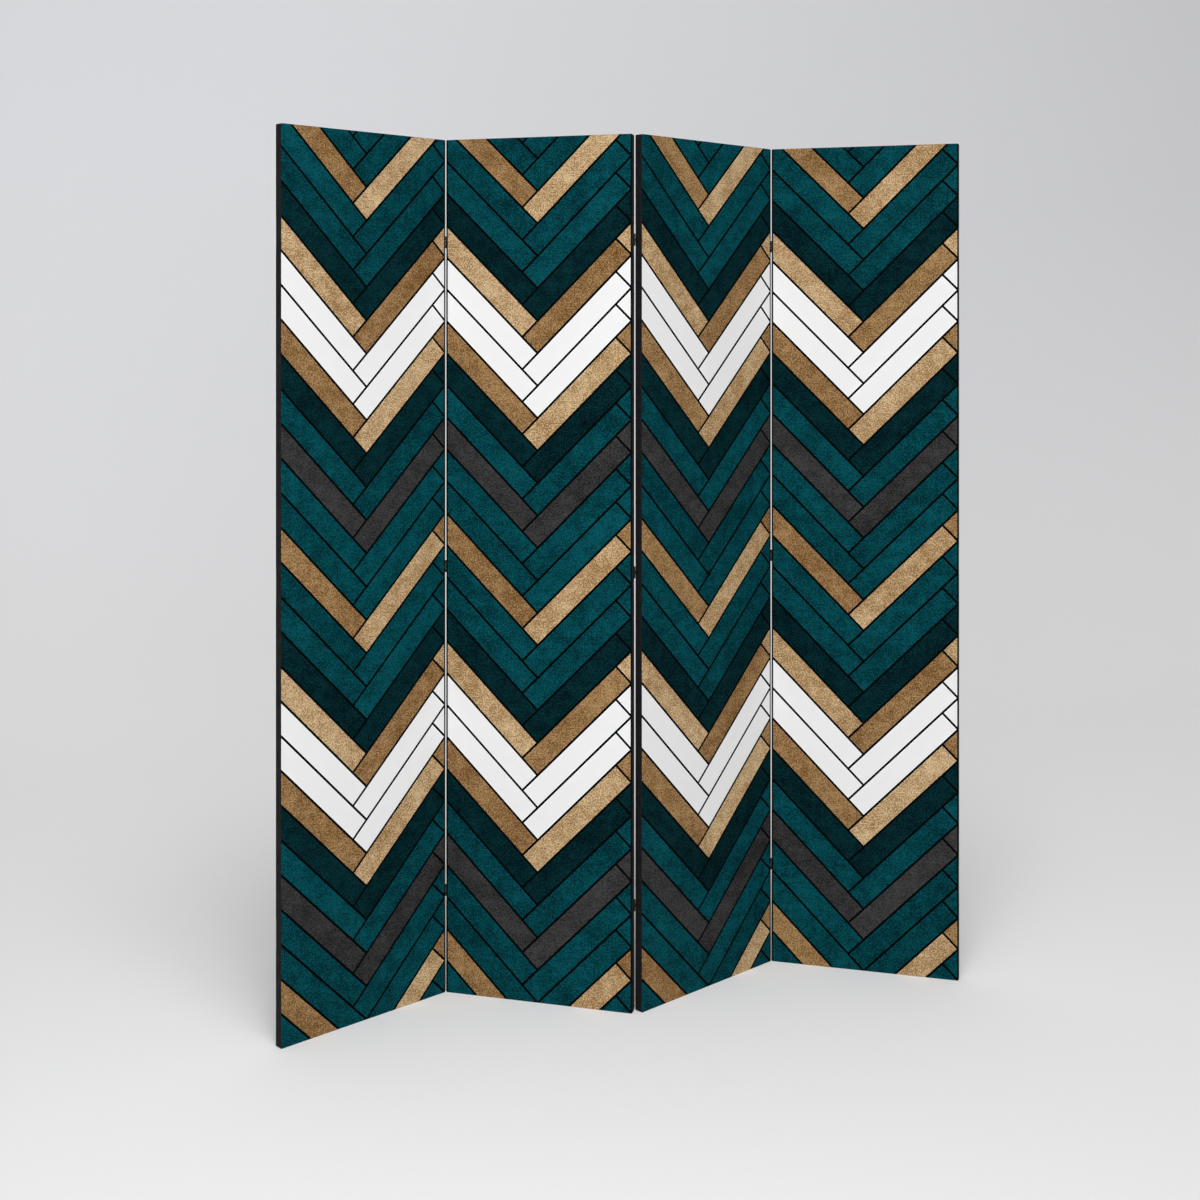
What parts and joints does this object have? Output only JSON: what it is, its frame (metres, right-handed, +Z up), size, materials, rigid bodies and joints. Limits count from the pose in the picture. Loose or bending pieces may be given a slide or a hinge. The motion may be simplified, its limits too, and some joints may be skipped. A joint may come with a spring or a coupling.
{
  "type": "folding screen",
  "caption": "Folding room screen of tall printed canvas panels on light wooden frames, joined edge to edge by small black butt hinges and standing in a zigzag.",
  "frame": {"origin": "on the floor, at the middle of the standing screen's bounding box", "axes": "+Z up; +X along the row of panels, to the right of someone facing the front; -Y out of the front, towards that person"},
  "size_m": [1.2882, 0.1941, 1.6],
  "materials": {
    "canvas": "matt printed canvas with a black edge",
    "wood": "planed softwood, bare",
    "hinge_steel": "black lacquer, satin",
    "pin_steel": "dark burnished steel"
  },
  "bodies": {
    "panel_1": {"panel_1_stile_left": "wood", "panel_1_stile_right": "wood", "panel_1_rail_bottom": "wood", "panel_1_rail_inner_1": "wood", "panel_1_rail_inner_2": "wood", "panel_1_rail_top": "wood", "panel_1_canvas_front": "canvas", "panel_1_canvas_back": "canvas", "hinge_12_bottom_leaf_1": "hinge_steel", "hinge_12_bottom_pin": "pin_steel", "hinge_12_middle_leaf_1": "hinge_steel", "hinge_12_middle_pin": "pin_steel", "hinge_12_top_leaf_1": "hinge_steel", "hinge_12_top_pin": "pin_steel"},
    "panel_2": {"panel_2_stile_left": "wood", "panel_2_stile_right": "wood", "panel_2_rail_bottom": "wood", "panel_2_rail_inner_1": "wood", "panel_2_rail_inner_2": "wood", "panel_2_rail_top": "wood", "panel_2_canvas_front": "canvas", "panel_2_canvas_back": "canvas", "hinge_12_bottom_leaf_2": "hinge_steel", "hinge_12_middle_leaf_2": "hinge_steel", "hinge_12_top_leaf_2": "hinge_steel", "hinge_23_bottom_leaf_1": "hinge_steel", "hinge_23_bottom_pin": "pin_steel", "hinge_23_middle_leaf_1": "hinge_steel", "hinge_23_middle_pin": "pin_steel", "hinge_23_top_leaf_1": "hinge_steel", "hinge_23_top_pin": "pin_steel"},
    "panel_3": {"panel_3_stile_left": "wood", "panel_3_stile_right": "wood", "panel_3_rail_bottom": "wood", "panel_3_rail_inner_1": "wood", "panel_3_rail_inner_2": "wood", "panel_3_rail_top": "wood", "panel_3_canvas_front": "canvas", "panel_3_canvas_back": "canvas", "hinge_23_bottom_leaf_2": "hinge_steel", "hinge_23_middle_leaf_2": "hinge_steel", "hinge_23_top_leaf_2": "hinge_steel", "hinge_34_bottom_leaf_1": "hinge_steel", "hinge_34_bottom_pin": "pin_steel", "hinge_34_middle_leaf_1": "hinge_steel", "hinge_34_middle_pin": "pin_steel", "hinge_34_top_leaf_1": "hinge_steel", "hinge_34_top_pin": "pin_steel"},
    "panel_4": {"panel_4_stile_left": "wood", "panel_4_stile_right": "wood", "panel_4_rail_bottom": "wood", "panel_4_rail_inner_1": "wood", "panel_4_rail_inner_2": "wood", "panel_4_rail_top": "wood", "panel_4_canvas_front": "canvas", "panel_4_canvas_back": "canvas", "hinge_34_bottom_leaf_2": "hinge_steel", "hinge_34_middle_leaf_2": "hinge_steel", "hinge_34_top_leaf_2": "hinge_steel"}
  },
  "joints": [
    {"name": "seam_12_fold", "type": "hinge", "parent": "panel_2", "child": "panel_1", "pos_m": [-0.3229, 0.08296, 0.8], "axis": [0, 0, 1], "range_deg": [-60, 120]},
    {"name": "seam_23_fold", "type": "hinge", "parent": "panel_2", "child": "panel_3", "pos_m": [0, -0.08296, 0.8], "axis": [0, 0, 1], "range_deg": [-60, 120]},
    {"name": "seam_34_fold", "type": "hinge", "parent": "panel_3", "child": "panel_4", "pos_m": [0.3229, 0.08296, 0.8], "axis": [0, 0, -1], "range_deg": [-60, 120]}
  ]
}
